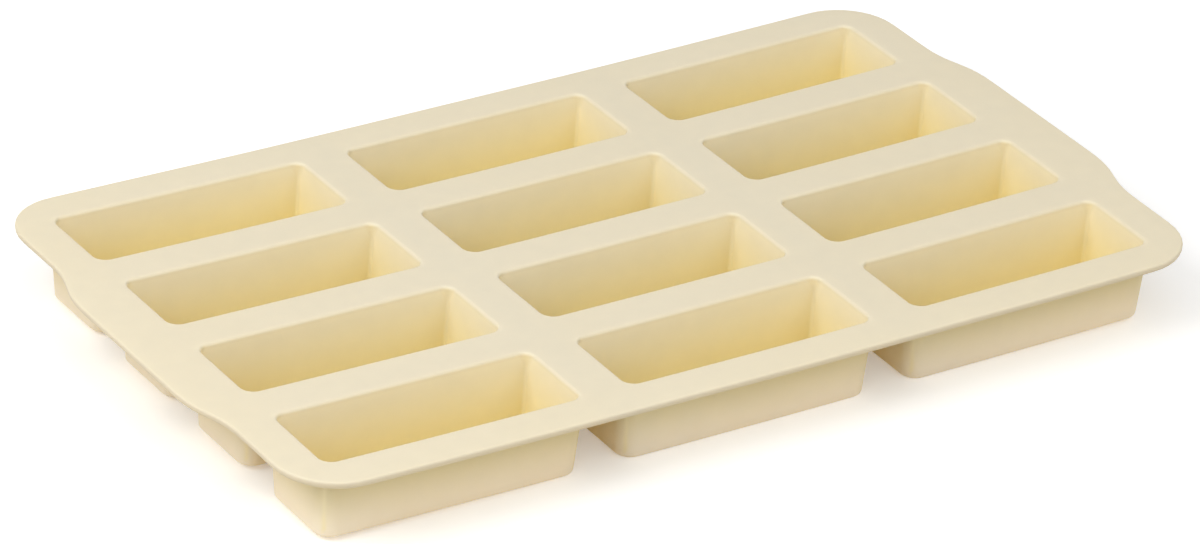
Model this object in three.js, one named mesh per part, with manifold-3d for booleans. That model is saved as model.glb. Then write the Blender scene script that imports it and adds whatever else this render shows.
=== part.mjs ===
// A silicone bar mould: a thin sheet with a grip tab at each end and a grid of bar cups hanging from it.
// The mould is one casting. Its nodes are the regions that move against each other when it flexes:
// a sheet panel for each column, a flex web between two columns, and a wall and a floor for each cup.
// The origin is under the middle of the mould, on the plane that the cups stand on. X runs along the
// bars and the columns are counted along X. Row 1 is at the back, towards +Y.

import * as THREE from 'three';
import { mergeVertices } from 'three/addons/utils/BufferGeometryUtils.js';
import Module from 'manifold-3d';

const wasm = await Module();
wasm.setup();

// Cavity grid, in millimetres
const COLUMN_NAMES = ['left', 'centre', 'right'];
const ROW_COUNT = 4;
const MOUTH_LENGTH = 78.9;
const MOUTH_WIDTH = 27.4;
const MOUTH_CORNER = 3;
const COLUMN_WEB = 14.5;
const ROW_WEB = 13.1;

// Sheet
const SHEET_THICKNESS = 2.5;
const SHEET_EDGE_ROUND = 0.6;
const SHEET_CORNER = 18;
const END_MARGIN = 12.35;
const SIDE_MARGIN = 11.85;
const LIP_RADIUS = 1;
const FLEX_LAND = 3.25;

// Grip tab in the middle of each end
const TAB_REACH = 4.8;
const TAB_FLAT = 49;
const TAB_SHOULDER = 28;

// Cups
const OVERALL_HEIGHT = 23.4;
const CUP_WALL = 1.75;
const DRAFT_DEGREES = 3.4;
const FLOOR_THICKNESS = 2.2;
const COVE_RADIUS = 2.5;
const FOOT_RADIUS = 1;
const ROOT_RADIUS = 1.2;
const CAVITY_CORNER = 1;
const FLOOR_CLEARANCE = 0.3;

// How finely the round stretches are faceted, and how far a cutter passes what it cuts
const CORNER_STEPS = 4;
const COVE_STEPS = 3;
const FILLET_STEPS = 2;
const LIP_STEPS = 3;
const OUTLINE_STEPS = 8;
const EDGE_STEPS = 2;
const CUT_PAST = 2;

// Finish of the ivory silicone
const SHEET_COLOUR = 0xeee2c8;
const CUP_COLOUR = 0xe6d3a8;
const SILICONE_ROUGHNESS = 0.6;

// Sizes that follow from the ones above
const quarterTurn = Math.PI / 2;
const draft = THREE.MathUtils.degToRad(DRAFT_DEGREES);
const columnCount = COLUMN_NAMES.length;
const columnPitch = MOUTH_LENGTH + COLUMN_WEB;
const rowPitch = MOUTH_WIDTH + ROW_WEB;
const endX = ((columnCount - 1) * columnPitch + MOUTH_LENGTH) / 2 + END_MARGIN;
const sideY = ((ROW_COUNT - 1) * rowPitch + MOUTH_WIDTH) / 2 + SIDE_MARGIN;
const tabX = endX + TAB_REACH;
const sheetTop = OVERALL_HEIGHT;
const sheetUnderside = OVERALL_HEIGHT - SHEET_THICKNESS;
const flexHalf = COLUMN_WEB / 2 - FLEX_LAND;

function columnX(column) {
  return (column - (columnCount - 1) / 2) * columnPitch;
}

function rowY(row) {
  return ((ROW_COUNT - 1) / 2 - row) * rowPitch;
}

// Distance of the drafted cavity wall, and of the cup's outer wall, outward from the mouth's outline
function cavityWall(height) {
  return (height - sheetTop) * Math.tan(draft);
}

function outerWall(height) {
  return cavityWall(height) + CUP_WALL / Math.cos(draft);
}

// Where the cove under the cavity wall runs out level with the floor
const coveHeight = FLOOR_THICKNESS + COVE_RADIUS;
const coveCentre = cavityWall(coveHeight) - COVE_RADIUS / Math.cos(draft);

function arc(x, y, radius, from, to, steps) {
  const curve = new THREE.EllipseCurve(x, y, radius, radius, from, to, to < from);
  return curve.getPoints(steps);
}

// The corner radius at an offset and a height. The crisp corners of the cavity open out through the sheet
// to those of the mouth, and the outside of the cup is rounded as the mouth is, larger by its wall.
function cornerRadius(offset, height) {
  const outward = offset - cavityWall(height);
  const inCavity = outward < CUP_WALL / 2 && height >= FLOOR_THICKNESS;
  const upSheet = THREE.MathUtils.clamp((height - sheetUnderside) / SHEET_THICKNESS, 0, 1);
  const atWall = inCavity ? THREE.MathUtils.lerp(CAVITY_CORNER, MOUTH_CORNER, upSheet) : MOUTH_CORNER;
  return Math.max(atWall + outward, CAVITY_CORNER);
}

// The mouth's rounded outline, grown outward by an offset
function mouthLoop(offset, height) {
  const radius = cornerRadius(offset, height);
  const reachX = MOUTH_LENGTH / 2 + offset - radius;
  const reachY = MOUTH_WIDTH / 2 + offset - radius;
  const signs = [[1, 1], [-1, 1], [-1, -1], [1, -1]];
  return signs.flatMap(([signX, signY], corner) => {
    const from = corner * quarterTurn;
    return arc(signX * reachX, signY * reachY, radius, from, from + quarterTurn, CORNER_STEPS);
  });
}

// Sweeps a section round the mouth's outline. Each section point is an offset and a height.
// A closed section makes a ring, and an open one, from bottom to top, makes a body with flat ends.
function sweepRoundMouth(section, closed) {
  const loops = section.map((point) => mouthLoop(point.x, point.y));
  const around = loops[0].length;
  const positions = loops.flatMap((loop, level) => loop.flatMap((p) => [p.x, p.y, section[level].y]));
  const indices = [];
  const bands = closed ? section.length : section.length - 1;
  for (let level = 0; level < bands; level += 1) {
    const low = level * around;
    const high = ((level + 1) % section.length) * around;
    for (let step = 0; step < around; step += 1) {
      const next = (step + 1) % around;
      indices.push(low + step, low + next, high + next);
      indices.push(low + step, high + next, high + step);
    }
  }
  if (!closed) {
    const top = bands * around;
    for (const [a, b, c] of THREE.ShapeUtils.triangulateShape(loops[0], [])) {
      indices.push(a, c, b);
      indices.push(top + a, top + b, top + c);
    }
  }
  const geometry = new THREE.BufferGeometry();
  geometry.setAttribute('position', new THREE.Float32BufferAttribute(positions, 3));
  geometry.setIndex(indices);
  geometry.computeVertexNormals();
  return geometry;
}

// The cup's wall: foot fillet outside, root fillet under the sheet, and a cove inside down to the floor
function cupWallSection() {
  const footCentre = outerWall(FOOT_RADIUS) - FOOT_RADIUS / Math.cos(draft);
  const rootHeight = sheetUnderside - ROOT_RADIUS;
  const rootCentre = outerWall(rootHeight) + ROOT_RADIUS / Math.cos(draft);
  return [
    new THREE.Vector2(coveCentre, 0),
    ...arc(footCentre, FOOT_RADIUS, FOOT_RADIUS, -quarterTurn, -draft, FILLET_STEPS),
    ...arc(rootCentre, rootHeight, ROOT_RADIUS, Math.PI - draft, quarterTurn, FILLET_STEPS),
    new THREE.Vector2(cavityWall(sheetUnderside), sheetUnderside),
    ...arc(coveCentre, coveHeight, COVE_RADIUS, -draft, -quarterTurn, COVE_STEPS),
  ];
}

// The floor fills the ring of the wall's foot and rises through the cavity when it is pushed
function cupFloorSection() {
  const edge = coveCentre - FLOOR_CLEARANCE;
  return [new THREE.Vector2(edge, 0), new THREE.Vector2(edge, FLOOR_THICKNESS)];
}

// What the mouth takes out of the sheet: the drafted cavity with a rounded lip at the top
function mouthCutSection() {
  const lipHeight = sheetTop - LIP_RADIUS;
  const lipCentre = cavityWall(lipHeight) + LIP_RADIUS / Math.cos(draft);
  const below = sheetUnderside - CUT_PAST;
  return [
    new THREE.Vector2(cavityWall(below), below),
    new THREE.Vector2(cavityWall(sheetUnderside), sheetUnderside),
    ...arc(lipCentre, lipHeight, LIP_RADIUS, Math.PI - draft, quarterTurn, LIP_STEPS),
    new THREE.Vector2(lipCentre, sheetTop + CUT_PAST),
  ];
}

// The sheet's plan: round corners, and in the middle of each end a grip tab with S-shaped shoulders
function sheetOutline() {
  const cornerX = endX - SHEET_CORNER;
  const cornerY = sideY - SHEET_CORNER;
  const tabY = TAB_FLAT / 2;
  const shoulderY = tabY + TAB_SHOULDER;
  const middleY = (tabY + shoulderY) / 2;
  const outline = new THREE.Shape();
  outline.moveTo(-cornerX, -sideY);
  outline.lineTo(cornerX, -sideY);
  outline.absarc(cornerX, -cornerY, SHEET_CORNER, -quarterTurn, 0, false);
  outline.lineTo(endX, -shoulderY);
  outline.bezierCurveTo(endX, -middleY, tabX, -middleY, tabX, -tabY);
  outline.lineTo(tabX, tabY);
  outline.bezierCurveTo(tabX, middleY, endX, middleY, endX, shoulderY);
  outline.lineTo(endX, cornerY);
  outline.absarc(cornerX, cornerY, SHEET_CORNER, 0, quarterTurn, false);
  outline.lineTo(-cornerX, sideY);
  outline.absarc(-cornerX, cornerY, SHEET_CORNER, quarterTurn, Math.PI, false);
  outline.lineTo(-endX, shoulderY);
  outline.bezierCurveTo(-endX, middleY, -tabX, middleY, -tabX, tabY);
  outline.lineTo(-tabX, -tabY);
  outline.bezierCurveTo(-tabX, -middleY, -endX, -middleY, -endX, -shoulderY);
  outline.lineTo(-endX, -cornerY);
  outline.absarc(-cornerX, -cornerY, SHEET_CORNER, Math.PI, 3 * quarterTurn, false);
  return outline;
}

function sheetBlank() {
  const geometry = new THREE.ExtrudeGeometry(sheetOutline(), {
    depth: SHEET_THICKNESS - 2 * SHEET_EDGE_ROUND,
    bevelEnabled: true,
    bevelThickness: SHEET_EDGE_ROUND,
    bevelSize: SHEET_EDGE_ROUND,
    bevelOffset: -SHEET_EDGE_ROUND,
    bevelSegments: EDGE_STEPS,
    curveSegments: OUTLINE_STEPS,
  });
  return geometry.translate(0, 0, sheetUnderside + SHEET_EDGE_ROUND);
}

// A block that cuts the strip of sheet between two places along X
function stripBlock(fromX, toX) {
  const across = 2 * (sideY + CUT_PAST);
  const tall = SHEET_THICKNESS + 2 * CUT_PAST;
  const block = new THREE.BoxGeometry(toX - fromX, across, tall);
  return block.translate((fromX + toX) / 2, 0, (sheetTop + sheetUnderside) / 2);
}

function toSolid(geometry) {
  const bare = geometry.clone();
  bare.deleteAttribute('normal');
  bare.deleteAttribute('uv');
  const merged = mergeVertices(bare);
  return new wasm.Manifold(new wasm.Mesh({
    numProp: 3,
    vertProperties: new Float32Array(merged.attributes.position.array),
    triVerts: new Uint32Array(merged.index.array),
  }));
}

function toGeometry(solid) {
  const mesh = solid.getMesh();
  const geometry = new THREE.BufferGeometry();
  geometry.setAttribute('position', new THREE.BufferAttribute(mesh.vertProperties, 3));
  geometry.setIndex(new THREE.BufferAttribute(mesh.triVerts, 1));
  geometry.computeVertexNormals();
  return geometry;
}

function silicone(colour) {
  return new THREE.MeshStandardMaterial({ color: colour, roughness: SILICONE_ROUGHNESS, metalness: 0 });
}

function namedMesh(name, geometry, colour) {
  const mesh = new THREE.Mesh(geometry, silicone(colour));
  mesh.name = name;
  return mesh;
}

// The whole sheet with its mouths, before it is divided at the flex webs
function sheetWithMouths() {
  const cutter = sweepRoundMouth(mouthCutSection(), false);
  let sheet = toSolid(sheetBlank());
  for (let column = 0; column < columnCount; column += 1) {
    for (let row = 0; row < ROW_COUNT; row += 1) {
      sheet = sheet.subtract(toSolid(cutter.clone().translate(columnX(column), rowY(row), 0)));
    }
  }
  return sheet;
}

function sheetStrip(sheet, name, fromX, toX) {
  const strip = sheet.intersect(toSolid(stripBlock(fromX, toX)));
  return namedMesh(name, toGeometry(strip), SHEET_COLOUR);
}

// A panel carries one column of mouths, and reaches from one flex web to the next or to the end
function sheetParts() {
  const sheet = sheetWithMouths();
  const parts = new THREE.Group();
  for (let column = 0; column < columnCount; column += 1) {
    const reach = columnPitch / 2 - flexHalf;
    const first = column === 0;
    const last = column === columnCount - 1;
    const fromX = first ? -tabX - CUT_PAST : columnX(column) - reach;
    const toX = last ? tabX + CUT_PAST : columnX(column) + reach;
    parts.add(sheetStrip(sheet, `sheet_${COLUMN_NAMES[column]}`, fromX, toX));
    if (!last) {
      const webX = columnX(column) + columnPitch / 2;
      const webName = `flex_web_${column + 1}`;
      parts.add(sheetStrip(sheet, webName, webX - flexHalf, webX + flexHalf));
    }
  }
  return parts;
}

function cup(label) {
  const parts = new THREE.Group();
  parts.add(namedMesh(`cup_wall_${label}`, sweepRoundMouth(cupWallSection(), true), CUP_COLOUR));
  parts.add(namedMesh(`cup_floor_${label}`, sweepRoundMouth(cupFloorSection(), false), CUP_COLOUR));
  return parts;
}

const mould = new THREE.Group();
mould.add(sheetParts());
COLUMN_NAMES.forEach((columnName, column) => {
  for (let row = 0; row < ROW_COUNT; row += 1) {
    const one = cup(`${columnName}_${row + 1}`);
    one.position.set(columnX(column), rowY(row), 0);
    mould.add(one);
  }
});

export default mould;
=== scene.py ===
import math

import bmesh
import bpy
from mathutils import Matrix, Vector, noise


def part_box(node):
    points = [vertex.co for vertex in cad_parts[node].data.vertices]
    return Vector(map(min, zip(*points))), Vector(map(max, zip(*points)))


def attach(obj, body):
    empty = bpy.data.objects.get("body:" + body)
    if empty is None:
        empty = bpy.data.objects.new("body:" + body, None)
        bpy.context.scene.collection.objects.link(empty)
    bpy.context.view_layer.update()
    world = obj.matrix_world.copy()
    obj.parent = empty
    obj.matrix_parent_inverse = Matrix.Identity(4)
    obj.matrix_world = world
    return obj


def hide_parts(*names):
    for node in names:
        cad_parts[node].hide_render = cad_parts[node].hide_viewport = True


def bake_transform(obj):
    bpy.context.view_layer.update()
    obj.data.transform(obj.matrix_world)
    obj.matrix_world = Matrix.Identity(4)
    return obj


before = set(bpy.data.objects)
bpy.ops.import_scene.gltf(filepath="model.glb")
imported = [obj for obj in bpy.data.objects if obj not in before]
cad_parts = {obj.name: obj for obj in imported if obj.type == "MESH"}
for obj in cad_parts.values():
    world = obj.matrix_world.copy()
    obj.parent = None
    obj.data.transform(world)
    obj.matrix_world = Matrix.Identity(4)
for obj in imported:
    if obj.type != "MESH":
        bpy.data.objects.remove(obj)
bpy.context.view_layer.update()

MM = 0.001
COLUMNS = ("left", "centre", "right")
ROWS = (1, 2, 3, 4)

# Sizes of the silicone mould that the skins share with its solids
MOUTH_LENGTH = 78.9 * MM
MOUTH_WIDTH = 27.4 * MM
MOUTH_CORNER = 3 * MM
LIP_RADIUS = 1 * MM
CUP_WALL = 1.75 * MM
DRAFT = math.radians(3.4)
FLOOR_THICKNESS = 2.2 * MM
COVE_RADIUS = 2.5 * MM
FOOT_RADIUS = 1 * MM
ROOT_RADIUS = 1.2 * MM
CAVITY_CORNER = 1 * MM
SHEET_CORNER = 18 * MM
TAB_REACH = 4.8 * MM
TAB_FLAT = 49 * MM
TAB_SHOULDER = 28 * MM
EDGE_ROUND_ABOVE = 0.6 * MM

# Softer forms that only the skins have: the lower edge of the sheet, and the corners of a lip
EDGE_ROUND_BELOW = 1.6 * MM
LIP_CORNER = 3.6 * MM
LIP_CORNER_DEPTH = 4 * MM

# How the soft sheet settles: its ends lift, its long edges sag and it twists, by the square of the distance
END_LIFT = 0.06614
SIDE_SAG = 0.05744
TWIST = 0.02858
SETTLED_RISE = 0.35 * MM
WAVE_HEIGHT = 0.12 * MM
WAVE_LENGTH = 55 * MM

# Mesh steps round a mouth, along a section and between a mouth and its border
CORNER_STEPS = 8
ALONG_STEPS = 20
ACROSS_STEPS = 6
ROUND_STEPS = 6
WALL_STEPS = 10
WEB_STEPS = 14
BORDER_SHARES = (0.12, 0.35, 0.66)

# Extra points beside a mouth's corners and below its lip, which keep the shading crisp there
CORNER_SUPPORT = 0.4 * MM
LIP_SUPPORT_SHARE = 0.6

# How sharp an edge still shades smooth, how near points are one, and how the tab's curve is worked out
SMOOTH_ANGLE = math.radians(40)
WELD_DISTANCE = 0.001 * MM
SLOPE_STEP = 0.01 * MM
HALVINGS = 40

# The hidden faces where skins meet: how far one is hollowed, so that the two only touch along their rims
JOINT_HOLLOW = 0.6 * MM
JOINT_RIM_SHARE = 0.6

# The camera that the photograph was taken with, fitted to the edges of the mould
CAMERA_AZIMUTH = math.radians(-34.222)
CAMERA_ELEVATION = math.radians(28.795)
CAMERA_ROLL = math.radians(3.583)
CAMERA_DISTANCE = 1753.7 * MM
CAMERA_AIM_X = -13.06 * MM
CAMERA_AIM_Y = -18.79 * MM
CAMERA_LENS = 192.07
CAMERA_SENSOR = 36
CAMERA_REACH = 100

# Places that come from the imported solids
sheet_low, sheet_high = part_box("sheet_left")
tab_x = -sheet_low.x
end_x = tab_x - TAB_REACH
side_y = sheet_high.y
sheet_top = sheet_high.z
sheet_under = sheet_low.z
corner_x = end_x - SHEET_CORNER
corner_y = side_y - SHEET_CORNER
web_boxes = {"flex_web_1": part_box("flex_web_1"), "flex_web_2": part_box("flex_web_2")}
cup_centres = {}
for column in COLUMNS:
    for row in ROWS:
        cup_low, cup_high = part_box(f"cup_wall_{column}_{row}")
        cup_centres[column, row] = (cup_low + cup_high) / 2
quarter_turn = math.pi / 2

# The sides of a mouth that each of its corners joins, anticlockwise from the right
CORNER_SIGNS = ((1, 1), (-1, 1), (-1, -1), (1, -1))


def mix(a, b, share):
    """The number or point that is a share of the way from one to another."""
    return a + (b - a) * share


def arc(centre_x, centre_z, radius, start, end, steps):
    """Section points along an arc, both ends included."""
    angles = [mix(start, end, step / steps) for step in range(steps + 1)]
    return [(centre_x + radius * math.cos(a), centre_z + radius * math.sin(a)) for a in angles]


def cavity_wall(height):
    """How far outward of the mouth's outline the drafted cavity wall is at a height."""
    return (height - sheet_top) * math.tan(DRAFT)


def outer_wall(height):
    """The same for the outside of the cup."""
    return cavity_wall(height) + CUP_WALL / math.cos(DRAFT)


def mouth_corner_radius(offset, height):
    """The cavity's crisp corners open out upward to the lip's. The cup's outside follows the mouth's."""
    outward = offset - cavity_wall(height)
    in_cavity = outward < CUP_WALL / 2 and height >= FLOOR_THICKNESS
    opened = max(1 - (sheet_top - height) / LIP_CORNER_DEPTH, 0)
    at_wall = mix(CAVITY_CORNER, LIP_CORNER, opened) if in_cavity else MOUTH_CORNER
    return max(at_wall + outward, CAVITY_CORNER)


def run_shares(length, steps):
    """Shares along a straight run of a mouth, with short first and last steps that keep its corners crisp."""
    support = CORNER_SUPPORT / length
    return [0] + [mix(support, 1 - support, step / (steps - 2)) for step in range(steps - 1)]


def mouth_loop(centre, offset, height):
    """The mouth's rounded outline grown outward by an offset, as a closed loop of points at a height."""
    radius = mouth_corner_radius(offset, height)
    run_x = MOUTH_LENGTH / 2 + offset - radius
    run_y = MOUTH_WIDTH / 2 + offset - radius
    points = []
    for quarter, (sign_x, sign_y) in enumerate(CORNER_SIGNS):
        hub = Vector((centre.x + sign_x * run_x, centre.y + sign_y * run_y, height))
        for step in range(CORNER_STEPS):
            angle = (quarter + step / CORNER_STEPS) * quarter_turn
            points.append(hub + radius * Vector((math.cos(angle), math.sin(angle), 0)))
        lengthwise = quarter % 2 == 0
        steps = ALONG_STEPS if lengthwise else ACROSS_STEPS
        outward = Vector((0, sign_y, 0)) if lengthwise else Vector((sign_x, 0, 0))
        travel = Vector((-2 * sign_x * run_x, 0, 0)) if lengthwise else Vector((0, -2 * sign_y * run_y, 0))
        points += [hub + radius * outward + travel * share for share in run_shares(travel.length, steps)]
    return points


def shoulder_reach(place):
    """The share of the tab's reach at a place down its S-shaped shoulder, 0 at the tab and 1 at the foot."""
    # A cubic curve whose two inner points are both half way along, solved for its place by halving
    low, high = 0.0, 1.0
    for _ in range(HALVINGS):
        t = (low + high) / 2
        if (1 - t) ** 3 + 1.5 * t * (1 - t) > place:
            low = t
        else:
            high = t
    return t * t * (3 - 2 * t)


def end_reach(y):
    """How far the sheet's end reaches from the middle of the mould, at a place across it."""
    past_corner = abs(y) - corner_y
    if past_corner > 0:
        return corner_x + math.sqrt(max(SHEET_CORNER ** 2 - past_corner ** 2, 0))
    place = (abs(y) - TAB_FLAT / 2) / TAB_SHOULDER
    return end_x + TAB_REACH * shoulder_reach(min(max(place, 0), 1))


def end_edge(sign, y):
    """A point on the sheet's left or right edge, and the edge's direction outward there."""
    slope = (end_reach(y + SLOPE_STEP) - end_reach(y - SLOPE_STEP)) / (2 * SLOPE_STEP)
    return Vector((sign * end_reach(y), y, 0)), Vector((sign, -slope, 0)).normalized()


def side_edge(sign, x):
    """A point on the sheet's front or back edge, and the edge's direction outward there."""
    past_corner = abs(x) - corner_x
    if past_corner <= 0:
        return Vector((x, sign * side_y, 0)), Vector((0, sign, 0))
    rise = math.sqrt(SHEET_CORNER ** 2 - past_corner ** 2)
    outward = Vector((math.copysign(past_corner, x), sign * rise, 0)) / SHEET_CORNER
    return Vector((x, sign * (corner_y + rise), 0)), outward


class Cell:
    """The part of the sheet round one mouth. A border of None is the sheet's own edge."""

    def __init__(self, column, row):
        self.centre = cup_centres[column, row]
        above, below = [self.row_border(row, other) for other in (row - 1, row + 1)]
        left, right = self.column_borders(column)
        self.border_x = {-1: left, 1: right}
        self.border_y = {-1: below, 1: above}

    def row_border(self, row, other):
        if other not in ROWS:
            return None
        return (self.centre.y + cup_centres["left", other].y) / 2

    def column_borders(self, column):
        web_1_low, web_1_high = web_boxes["flex_web_1"]
        web_2_low, web_2_high = web_boxes["flex_web_2"]
        borders = {
            "left": (None, web_1_low.x),
            "centre": (web_1_high.x, web_2_low.x),
            "right": (web_2_high.x, None),
        }
        return borders[column]

    def on_end(self, sign, y):
        border = self.border_x[sign]
        return end_edge(sign, y) if border is None else (Vector((border, y, 0)), None)

    def on_side(self, sign, x):
        border = self.border_y[sign]
        return side_edge(sign, x) if border is None else (Vector((x, border, 0)), None)

    def corner(self, quarter, share, run):
        """A border point for a share of the way round one corner of the mouth."""
        sign_x, sign_y = CORNER_SIGNS[quarter]
        from_end = share if quarter % 2 == 0 else 1 - share
        if self.border_x[sign_x] is None and self.border_y[sign_y] is None:
            return self.round_corner(sign_x, sign_y, from_end, run)
        x = self.border_x[sign_x]
        y = self.border_y[sign_y]
        if x is None:
            x = sign_x * end_reach(y)
        if y is None:
            y = sign_y * side_y
        on_edge_side = self.border_y[sign_y] is None
        if from_end < 0.5 or (from_end == 0.5 and not on_edge_side):
            return self.on_end(sign_x, mix(run.y, y, 2 * from_end))
        return self.on_side(sign_y, mix(x, run.x, 2 * from_end - 1))

    def round_corner(self, sign_x, sign_y, from_end, run):
        low = math.asin((abs(run.y) - corner_y) / SHEET_CORNER)
        high = math.acos((abs(run.x) - corner_x) / SHEET_CORNER)
        angle = mix(low, high, from_end)
        outward = Vector((sign_x * math.cos(angle), sign_y * math.sin(angle), 0))
        return Vector((sign_x * corner_x, sign_y * corner_y, 0)) + SHEET_CORNER * outward, outward

    def border(self):
        """A border point and its outward direction, or None off the sheet's edge, for each mouth point."""
        half_x = MOUTH_LENGTH / 2 - MOUTH_CORNER
        half_y = MOUTH_WIDTH / 2 - MOUTH_CORNER
        points = []
        for quarter, (sign_x, sign_y) in enumerate(CORNER_SIGNS):
            run = self.centre + Vector((sign_x * half_x, sign_y * half_y, 0))
            points += [self.corner(quarter, step / CORNER_STEPS, run) for step in range(CORNER_STEPS)]
            if quarter % 2 == 0:
                travel = [run.x - 2 * sign_x * half_x * step / ALONG_STEPS for step in range(ALONG_STEPS)]
                points += [self.on_side(sign_y, x) for x in travel]
            else:
                travel = [run.y - 2 * sign_y * half_y * step / ACROSS_STEPS for step in range(ACROSS_STEPS)]
                points += [self.on_end(sign_x, y) for y in travel]
        return points


def edge_section():
    """The sheet's rounded edge from its top to its underside, as points outward of it and up."""
    start = sheet_top - EDGE_ROUND_ABOVE
    end = sheet_under + EDGE_ROUND_BELOW
    above = arc(-EDGE_ROUND_ABOVE, start, EDGE_ROUND_ABOVE, quarter_turn, 0, ROUND_STEPS)
    below = arc(-EDGE_ROUND_BELOW, end, EDGE_ROUND_BELOW, 0, -quarter_turn, ROUND_STEPS)
    return above + below


def lip_section():
    """The mouth from the sheet's underside, up the cavity wall and over the lip to the sheet's top."""
    lip_height = sheet_top - LIP_RADIUS
    lip_centre = cavity_wall(lip_height) + LIP_RADIUS / math.cos(DRAFT)
    lip = arc(lip_centre, lip_height, LIP_RADIUS, math.pi - DRAFT, quarter_turn, ROUND_STEPS)
    support = mix(sheet_under, lip[0][1], LIP_SUPPORT_SHARE)
    return [(cavity_wall(sheet_under), sheet_under), (cavity_wall(support), support)] + lip


def root_offset():
    """How far outward of the mouth's outline a cup's root fillet ends, under the sheet."""
    height = sheet_under - ROOT_RADIUS
    return outer_wall(height) + ROOT_RADIUS / math.cos(DRAFT)


def add_loop(mesh, points):
    return [mesh.verts.new(point) for point in points]


def bridge(mesh, lower, upper, closed=True):
    count = len(lower)
    for i in range(count if closed else count - 1):
        following = (i + 1) % count
        mesh.faces.new((lower[i], lower[following], upper[following], upper[i]))


def border_height(border, height, edge_round):
    """The border's points at the sheet's top or underside, drawn in from its rounded edge."""
    points = []
    for point, outward in border:
        inner = point if outward is None else point - outward * edge_round
        points.append(Vector((inner.x, inner.y, height)))
    return points


def add_cell(mesh, cell):
    border = cell.border()
    top_border = border_height(border, sheet_top, EDGE_ROUND_ABOVE)
    under_border = border_height(border, sheet_under, EDGE_ROUND_BELOW)
    lip = [mouth_loop(cell.centre, offset, height) for offset, height in lip_section()]
    root = mouth_loop(cell.centre, root_offset(), sheet_under)
    rings = [under_border]
    for share in reversed(BORDER_SHARES):
        rings.append([mix(a, b, share) for a, b in zip(root, under_border)])
    rings.append(root)
    rings += lip
    for share in BORDER_SHARES:
        rings.append([mix(a, b, share) for a, b in zip(lip[-1], top_border)])
    rings.append(top_border)
    loops = [add_loop(mesh, ring) for ring in rings]
    for lower, upper in zip(loops, loops[1:]):
        bridge(mesh, lower, upper)
    add_cell_border(mesh, border, loops[0], loops[-1], cell)


def add_cell_border(mesh, border, under_loop, top_loop, cell):
    """The rounded edge where the cell ends at the sheet's edge, and a flat end where it meets a flex web."""
    section = edge_section()
    columns = {}
    for i, (point, outward) in enumerate(border):
        if outward is not None:
            rounded = [point + outward * out + Vector((0, 0, up)) for out, up in section[1:-1]]
            columns[i] = [top_loop[i]] + add_loop(mesh, rounded) + [under_loop[i]]
    count = len(border)
    for i in range(count):
        following = (i + 1) % count
        if i in columns and following in columns:
            bridge(mesh, columns[i], columns[following], closed=False)
        elif meets_web(cell, border[i][0]) and meets_web(cell, border[following][0]):
            mesh.faces.new((top_loop[i], top_loop[following], under_loop[following], under_loop[i]))
    for i, column in columns.items():
        if meets_web(cell, border[i][0]):
            mesh.faces.new(column)


def meets_web(cell, point):
    ends = [x for x in cell.border_x.values() if x is not None]
    return any(abs(point.x - x) < WELD_DISTANCE for x in ends)


def panel_mesh(column):
    mesh = bmesh.new()
    for row in ROWS:
        add_cell(mesh, Cell(column, row))
    return mesh


def web_mesh(web):
    """A strip of sheet along Y, with the same section as the panels that it joins."""
    section = web_section()
    low, high = web_boxes[web]
    mesh = bmesh.new()
    loops = []
    for step in range(WEB_STEPS + 1):
        x = mix(low.x, high.x, step / WEB_STEPS)
        loops.append(add_loop(mesh, [Vector((x, y, z)) for y, z in section]))
    for lower, upper in zip(loops, loops[1:]):
        bridge(mesh, lower, upper)
    close_web(mesh, loops[0], JOINT_HOLLOW)
    close_web(mesh, loops[-1], -JOINT_HOLLOW)
    return mesh


def close_web(mesh, rim, inward):
    """Closes one end of a web with a face that is hollowed inward."""
    middle = (sheet_top + sheet_under) / 2
    hollow = []
    for vertex in rim:
        x, y, z = vertex.co
        y -= math.copysign(JOINT_HOLLOW, y) * abs(y) / side_y
        hollow.append(Vector((x + inward, y, mix(middle, z, JOINT_RIM_SHARE))))
    inner = add_loop(mesh, hollow)
    bridge(mesh, rim, inner)
    mesh.faces.new(inner)


def web_section():
    """The sheet cut along Y between two columns, as a closed loop of places across it and heights."""
    places = set()
    for row in ROWS:
        cell = Cell("centre", row)
        for point, outward in cell.border():
            if outward is None and meets_web(cell, point) and point.x > 0:
                places.add(round(point.y, 9))
    across = sorted(places)
    profile = edge_section()
    back = [(side_y + out, up) for out, up in profile]
    front = [(-side_y - out, up) for out, up in reversed(profile)]
    return [(y, sheet_top) for y in across] + back + [(y, sheet_under) for y in reversed(across)] + front


def cup_section():
    """The cup's wall from its underside, up the outside, over the joint with the sheet and down inside."""
    foot_centre = outer_wall(FOOT_RADIUS) - FOOT_RADIUS / math.cos(DRAFT)
    root_height = sheet_under - ROOT_RADIUS
    cove_height = FLOOR_THICKNESS + COVE_RADIUS
    cove_centre = cavity_wall(cove_height) - COVE_RADIUS / math.cos(DRAFT)
    foot = arc(foot_centre, FOOT_RADIUS, FOOT_RADIUS, -quarter_turn, -DRAFT, ROUND_STEPS)
    root = arc(root_offset(), root_height, ROOT_RADIUS, math.pi - DRAFT, quarter_turn, ROUND_STEPS)
    cove = arc(cove_centre, cove_height, COVE_RADIUS, -DRAFT, -quarter_turn, ROUND_STEPS)
    inner_top = (cavity_wall(sheet_under), sheet_under)
    hollow = (mix(root[-1][0], inner_top[0], 0.5), sheet_under - JOINT_HOLLOW)
    outside = foot + between(foot[-1], root[0]) + root
    return outside + [hollow, inner_top] + between(inner_top, cove[0]) + cove


def between(start, end):
    """Section points spaced evenly between two others, without them."""
    shares = [step / WALL_STEPS for step in range(1, WALL_STEPS)]
    return [(mix(start[0], end[0], share), mix(start[1], end[1], share)) for share in shares]


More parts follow.
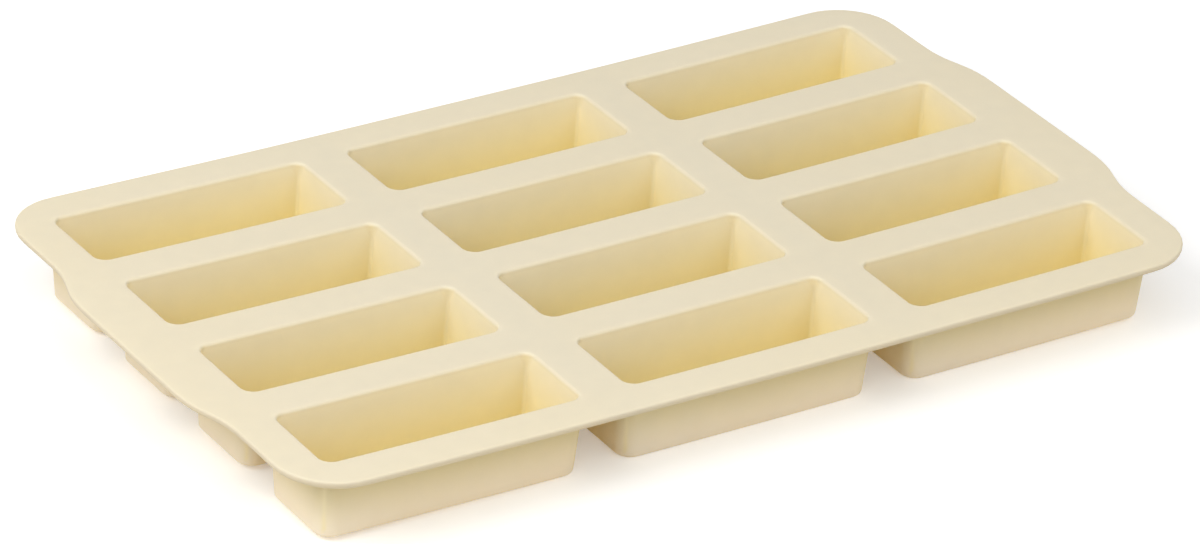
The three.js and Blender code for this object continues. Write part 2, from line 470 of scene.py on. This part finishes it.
def fill_loop(mesh, loop):
    """Fills a mouth-shaped loop with a grid of quads, whose corners are the middles of its round corners."""
    half = CORNER_STEPS // 2
    turned = loop[half:] + loop[:half]
    wide = ALONG_STEPS + CORNER_STEPS
    deep = ACROSS_STEPS + CORNER_STEPS
    top = turned[:wide + 1]
    left = turned[wide:wide + deep + 1]
    bottom = list(reversed(turned[wide + deep:2 * wide + deep + 1]))
    right = list(reversed(turned[2 * wide + deep:] + turned[:1]))
    grid = [top]
    for j in range(1, deep):
        v = j / deep
        row = [right[j]]
        for i in range(1, wide):
            u = i / wide
            across = mix(right[j].co, left[j].co, u) + mix(top[i].co, bottom[i].co, v)
            upper = mix(top[0].co, top[-1].co, u)
            lower = mix(bottom[0].co, bottom[-1].co, u)
            row.append(mesh.verts.new(across - mix(upper, lower, v)))
        grid.append(row + [left[j]])
    grid.append(bottom)
    for upper, lower in zip(grid, grid[1:]):
        bridge(mesh, upper, lower, closed=False)


def cup_mesh(centre):
    mesh = bmesh.new()
    loops = [add_loop(mesh, mouth_loop(centre, offset, height)) for offset, height in cup_section()]
    for lower, upper in zip(loops, loops[1:]):
        bridge(mesh, lower, upper)
    fill_loop(mesh, loops[0])
    fill_loop(mesh, loops[-1])
    return mesh


def settle(point):
    """Where a point of the soft mould comes to lie as it stands."""
    bow = END_LIFT * point.x ** 2 - SIDE_SAG * point.y ** 2 + TWIST * point.x * point.y
    wave = noise.noise(Vector((point.x, point.y, 0)) / WAVE_LENGTH)
    return point + Vector((0, 0, SETTLED_RISE + bow + WAVE_HEIGHT * wave))


def mouth_distance(point):
    """How far a point lies outside the nearest mouth's outline, or below zero inside it."""
    distances = []
    for centre in cup_centres.values():
        over_x = abs(point.x - centre.x) - MOUTH_LENGTH / 2 + CAVITY_CORNER
        over_y = abs(point.y - centre.y) - MOUTH_WIDTH / 2 + CAVITY_CORNER
        outside = math.hypot(max(over_x, 0), max(over_y, 0))
        distances.append(outside + min(max(over_x, over_y), 0) - CAVITY_CORNER)
    return min(distances)


# The inside and depth shares place the light and shade painted into the silicone's colour
def inside_share(point):
    """Whether a point is in a cavity: 1 on its wall and floor, falling to 0 over the lip and outside."""
    if point.z < FLOOR_THICKNESS / 2:
        return 0
    from_wall = mouth_distance(point) - cavity_wall(point.z)
    return 1 - min(max(from_wall / LIP_RADIUS, 0), 1)


def depth_share(point):
    """How deep a point is, from 0 at the top of the sheet to 1 at the floor of a cavity and below."""
    return min((sheet_top - point.z) / (sheet_top - FLOOR_THICKNESS), 1)


def clear_share(point):
    """How much light comes through at a point: least in the sheet, and more down the cups."""
    down_cup = (sheet_under - point.z) / (sheet_under - FLOOR_THICKNESS)
    return mix(SHEET_CLEARNESS, 1, min(max(down_cup, 0), 1))


def make_piece(name, mesh, material):
    """Turns a finished mesh into a smooth piece, whose points carry what the silicone's look depends on,
    including where its light and shade are painted.
    """
    bmesh.ops.remove_doubles(mesh, verts=mesh.verts, dist=WELD_DISTANCE)
    bmesh.ops.recalc_face_normals(mesh, faces=mesh.faces)
    if mesh.calc_volume(signed=True) < 0:
        bmesh.ops.reverse_faces(mesh, faces=mesh.faces)
    data = bpy.data.meshes.new(name)
    mesh.to_mesh(data)
    mesh.free()
    for label, share in (("inside", inside_share), ("depth", depth_share), ("clear", clear_share)):
        values = [share(vertex.co) for vertex in data.vertices]
        data.attributes.new(label, "FLOAT", "POINT").data.foreach_set("value", values)
    for vertex in data.vertices:
        vertex.co = settle(vertex.co)
    data.shade_smooth()
    data.set_sharp_from_angle(angle=SMOOTH_ANGLE)
    data.materials.append(material)
    piece = bpy.data.objects.new(name, data)
    bpy.context.scene.collection.objects.link(piece)
    return piece


class Nodes:
    """Adds shader nodes to a material's or the world's tree and links them by socket name."""

    def __init__(self, tree):
        self.tree = tree

    def add(self, kind, settings=None, values=None, links=None):
        node = self.tree.nodes.new(kind)
        for key, value in (settings or {}).items():
            setattr(node, key, value)
        for key, value in (values or {}).items():
            node.inputs[key].default_value = value
        for key, socket in (links or {}).items():
            self.tree.links.new(socket, node.inputs[key])
        return node

    def noise(self, where, scale, detail=2.0):
        links = {"Vector": where}
        values = {"Scale": scale, "Detail": detail}
        return self.add("ShaderNodeTexNoise", values=values, links=links).outputs["Fac"]

    def spread(self, value, low, high, start=0.3, end=0.7):
        """Maps a value between start and end, as most of a noise is, to one between low and high."""
        values = {"From Min": start, "From Max": end, "To Min": low, "To Max": high}
        return self.add("ShaderNodeMapRange", values=values, links={"Value": value}).outputs["Result"]

    def colours(self, share, first, second, blend="MIX"):
        """Mixes two colours, each a plain one or another node's."""
        node = self.add("ShaderNodeMix", {"data_type": "RGBA", "blend_type": blend})
        colour_inputs = [s for s in node.inputs if s.type == "RGBA"]
        for socket, colour in zip(colour_inputs, (first, second)):
            if isinstance(colour, tuple):
                socket.default_value = colour
            else:
                self.tree.links.new(colour, socket)
        if isinstance(share, float):
            node.inputs[0].default_value = share
        else:
            self.tree.links.new(share, node.inputs[0])
        return [s for s in node.outputs if s.type == "RGBA"][0]

    def ramp(self, share, stops):
        """Runs through colours, each at its own share."""
        node = self.add("ShaderNodeValToRGB", links={"Fac": share})
        elements = node.color_ramp.elements
        while len(elements) < len(stops):
            elements.new(1.0)
        for element, (position, colour) in zip(elements, stops):
            element.position = position
            element.color = colour
        return node.outputs["Color"]

    def shown(self):
        """1 for what the camera sees, by itself or in a mirror or through glass, and 0 for other light."""
        path = self.add("ShaderNodeLightPath").outputs
        seen = self.add("ShaderNodeMath", {"operation": "MAXIMUM"}, links={
            0: path["Is Camera Ray"], 1: path["Is Transmission Ray"]})
        mirrored = self.add("ShaderNodeMath", {"operation": "MAXIMUM"}, links={
            0: seen.outputs[0], 1: path["Is Glossy Ray"]})
        return self.add("ShaderNodeMath", {"operation": "SUBTRACT", "use_clamp": True}, links={
            0: mirrored.outputs[0], 1: path["Is Diffuse Ray"]}).outputs[0]


# The colours of the silicone from the top of the sheet down to the bottom of the cups, outside and inside,
# with light and shade painted into them by depth
# Outside: painted shade darkens the sheet's edge, its underside and the upper cup walls under it, and painted
# light makes the cups paler towards their feet
OUTSIDE_PAINTED_LIGHT_AND_SHADE = (
    (0.0, (0.865, 0.79, 0.61, 1)),
    (0.03, (0.715, 0.635, 0.49, 1)),
    (0.13, (0.535, 0.45, 0.275, 1)),
    (0.3, (0.655, 0.57, 0.34, 1)),
    (0.5, (0.735, 0.66, 0.435, 1)),
    (1.0, (0.97, 0.91, 0.78, 1)),
)
# Inside: painted light makes the cavity walls paler than the sheet's top below the lip, and painted shade
# turns them deeper yellow towards the cavity floor
CAVITY_PAINTED_LIGHT_AND_SHADE = (
    (0.0, (0.9, 0.825, 0.635, 1)),
    (0.08, (0.985, 0.915, 0.7, 1)),
    (1.0, (0.955, 0.865, 0.49, 1)),
)
WARM_TINT = (1.0, 0.985, 0.94, 1)
GLOW_COLOUR = (1.0, 0.85, 0.1, 1)
GLOW_SHARE = 0.28
SHEET_CLEARNESS = 0.6

# The silicone's finish: the scales of its noises, how much they change, and its sheen and relief
CLOUD_SCALE = 22
MOTTLE_SCALE = 170
PEEL_SCALE = 420
GRAIN_SCALE = 2600
CLOUD_WARMTH = 0.5
MOTTLE_DARKEST = 0.972
GRAIN_DARKEST = 0.985
ROUGHNESS_LOW = 0.52
ROUGHNESS_HIGH = 0.64
SPECULAR_LEVEL = 0.4
SHEEN_WEIGHT = 0.12
SHEEN_ROUGHNESS = 0.5
GRAIN_IN_RELIEF = 0.6
RELIEF_STRENGTH = 0.12
RELIEF_DEPTH = 0.2 * MM


def silicone():
    """Matte ivory silicone that lets some light through, with light and shade painted into its colour by
    depth inside the cavities and out, and faint clouds, mottling and a fine grain.
    """
    material = bpy.data.materials.new("ivory_silicone")
    material.use_nodes = True
    nodes = Nodes(material.node_tree)
    shader = material.node_tree.nodes["Principled BSDF"]
    where = nodes.add("ShaderNodeTexCoord").outputs["Object"]
    inside, depth, clear = [
        nodes.add("ShaderNodeAttribute", {"attribute_name": label}).outputs["Fac"]
        for label in ("inside", "depth", "clear")]
    clouds = nodes.noise(where, CLOUD_SCALE, detail=3.0)
    mottle = nodes.noise(where, MOTTLE_SCALE, detail=4.0)
    grain = nodes.noise(where, GRAIN_SCALE)
    # The colour with its painted light and shade, by depth and by whether a point is in a cavity
    plain = nodes.colours(inside, nodes.ramp(depth, OUTSIDE_PAINTED_LIGHT_AND_SHADE), nodes.ramp(depth, CAVITY_PAINTED_LIGHT_AND_SHADE))
    warmed = nodes.colours(nodes.spread(clouds, 0.0, CLOUD_WARMTH), plain, WARM_TINT, "MULTIPLY")
    mottled = nodes.colours(1.0, warmed, nodes.spread(mottle, MOTTLE_DARKEST, 1.0), "MULTIPLY")
    grained = nodes.colours(1.0, mottled, nodes.spread(grain, GRAIN_DARKEST, 1.0), "MULTIPLY")
    shader.inputs["Specular IOR Level"].default_value = SPECULAR_LEVEL
    shader.inputs["Sheen Weight"].default_value = SHEEN_WEIGHT
    shader.inputs["Sheen Roughness"].default_value = SHEEN_ROUGHNESS
    link = material.node_tree.links.new
    link(grained, shader.inputs["Base Color"])
    link(nodes.spread(mottle, ROUGHNESS_LOW, ROUGHNESS_HIGH), shader.inputs["Roughness"])
    peel = nodes.noise(where, PEEL_SCALE)
    relief = nodes.colours(GRAIN_IN_RELIEF, peel, grain)
    bump_values = {"Strength": RELIEF_STRENGTH, "Distance": RELIEF_DEPTH}
    bump = nodes.add("ShaderNodeBump", values=bump_values, links={"Height": relief})
    link(bump.outputs["Normal"], shader.inputs["Normal"])
    glow = nodes.add("ShaderNodeBsdfTranslucent", values={"Color": GLOW_COLOUR})
    glow_share = nodes.spread(clear, 0.0, GLOW_SHARE, 0.0, 1.0)
    surface = nodes.add("ShaderNodeMixShader", links={
        0: glow_share, 1: shader.outputs["BSDF"], 2: glow.outputs["BSDF"]})
    output = material.node_tree.nodes["Material Output"]
    link(surface.outputs["Shader"], output.inputs["Surface"])
    return material


def add_sheet(material):
    for column in COLUMNS:
        panel = make_piece(f"skin_sheet_{column}", panel_mesh(column), material)
        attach(panel, column)
        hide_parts(f"sheet_{column}")
    for web, (start, end) in zip(web_boxes, (("left", "centre"), ("centre", "right"))):
        strip = make_piece(f"skin_{web}", web_mesh(web), material)
        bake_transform(strip)
        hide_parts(web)


def add_cups(material):
    for column in COLUMNS:
        for row in ROWS:
            centre = cup_centres[column, row]
            cup = make_piece(f"skin_cup_{column}_{row}", cup_mesh(centre), material)
            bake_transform(cup)
            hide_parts(f"cup_wall_{column}_{row}", f"cup_floor_{column}_{row}")


# The floor, and how much paler it is shown near the mould and far from it
WHITE = (1, 1, 1, 1)
FLOOR_HALF = 12
FLOOR_COLOUR = (0.9, 0.9, 0.9, 1)
FLOOR_ROUGHNESS = 0.9
FLOOR_LIFT = 0.24
FAR_FLOOR_LIFT = 0.6
FAR_FLOOR_START = 0.4
FAR_FLOOR_END = 1.6


def add_floor():
    """A plain white floor, which the camera sees paler than its own colour, and white far from the lamps."""
    data = bpy.data.meshes.new("floor")
    corners = [(x * FLOOR_HALF, y * FLOOR_HALF, 0) for x, y in ((-1, -1), (1, -1), (1, 1), (-1, 1))]
    data.from_pydata(corners, [], [(0, 1, 2, 3)])
    floor = bpy.data.objects.new("floor", data)
    bpy.context.scene.collection.objects.link(floor)
    material = bpy.data.materials.new("floor_white")
    material.use_nodes = True
    nodes = Nodes(material.node_tree)
    shader = material.node_tree.nodes["Principled BSDF"]
    shader.inputs["Base Color"].default_value = FLOOR_COLOUR
    shader.inputs["Roughness"].default_value = FLOOR_ROUGHNESS
    shader.inputs["Specular IOR Level"].default_value = 0
    shader.inputs["Emission Color"].default_value = WHITE
    where = nodes.add("ShaderNodeTexCoord").outputs["Object"]
    away = nodes.add("ShaderNodeVectorMath", {"operation": "LENGTH"}, links={0: where}).outputs["Value"]
    paler = nodes.spread(away, FLOOR_LIFT, FAR_FLOOR_LIFT, FAR_FLOOR_START, FAR_FLOOR_END)
    lift = nodes.add("ShaderNodeMath", {"operation": "MULTIPLY"}, links={0: nodes.shown(), 1: paler})
    material.node_tree.links.new(lift.outputs[0], shader.inputs["Emission Strength"])
    data.materials.append(material)


# The light: the strength of the surround, and each lamp's direction from the mould, size and power
SKY_STRENGTH = 0.47
LAMP_DISTANCE = 1.2
LIGHT_BOUNCES = 16
DIFFUSE_BOUNCES = 12
LAMPS = {
    "left": (Vector((-0.7, 0.0, 0.68)), 0.8, 7.7),
    "front": (Vector((-0.05, -0.66, 0.75)), 1.6, 6.4),
    "right": (Vector((0.55, -0.5, 0.66)), 0.8, 0.8),
}


def add_world():
    """An even white surround, which is plain white where the camera, or a mirror or glass, shows it."""
    world = bpy.data.worlds.new("studio")
    bpy.context.scene.world = world
    world.use_nodes = True
    nodes = Nodes(world.node_tree)
    strength = nodes.spread(nodes.shown(), SKY_STRENGTH, 1.0, 0.0, 1.0)
    background = world.node_tree.nodes["Background"]
    background.inputs["Color"].default_value = WHITE
    world.node_tree.links.new(strength, background.inputs["Strength"])


def add_lamps():
    """Large soft lamps round the table, aimed at the middle of the mould."""
    for name, (direction, size, power) in LAMPS.items():
        lamp = bpy.data.lights.new(name, "AREA")
        lamp.shape = "DISK"
        lamp.size = size
        lamp.energy = power
        placed = bpy.data.objects.new(name, lamp)
        toward = direction.normalized()
        placed.location = toward * LAMP_DISTANCE
        placed.rotation_mode = "QUATERNION"
        placed.rotation_quaternion = toward.to_track_quat("Z", "Y")
        bpy.context.scene.collection.objects.link(placed)


def add_camera():
    flat = math.cos(CAMERA_ELEVATION)
    back = Vector((
        math.sin(CAMERA_AZIMUTH) * flat,
        -math.cos(CAMERA_AZIMUTH) * flat,
        math.sin(CAMERA_ELEVATION),
    ))
    right = (-back).cross(Vector((0, 0, 1))).normalized()
    up = right.cross(-back)
    turned_right = right * math.cos(CAMERA_ROLL) + up * math.sin(CAMERA_ROLL)
    turned_up = up * math.cos(CAMERA_ROLL) - right * math.sin(CAMERA_ROLL)
    aim = Vector((CAMERA_AIM_X, CAMERA_AIM_Y, sheet_top + SETTLED_RISE))
    camera = bpy.data.objects.new("camera", bpy.data.cameras.new("camera"))
    camera.data.sensor_width = CAMERA_SENSOR
    camera.data.lens = CAMERA_LENS
    camera.data.clip_end = CAMERA_REACH
    placed = Matrix((turned_right, turned_up, back)).transposed().to_4x4()
    placed.translation = aim + back * CAMERA_DISTANCE
    camera.matrix_world = placed
    bpy.context.scene.collection.objects.link(camera)
    bpy.context.scene.camera = camera


bpy.context.scene.view_settings.view_transform = "Standard"
bpy.context.scene.cycles.max_bounces = LIGHT_BOUNCES
bpy.context.scene.cycles.diffuse_bounces = DIFFUSE_BOUNCES
ivory = silicone()
add_sheet(ivory)
add_cups(ivory)
add_floor()
add_world()
add_lamps()
add_camera()
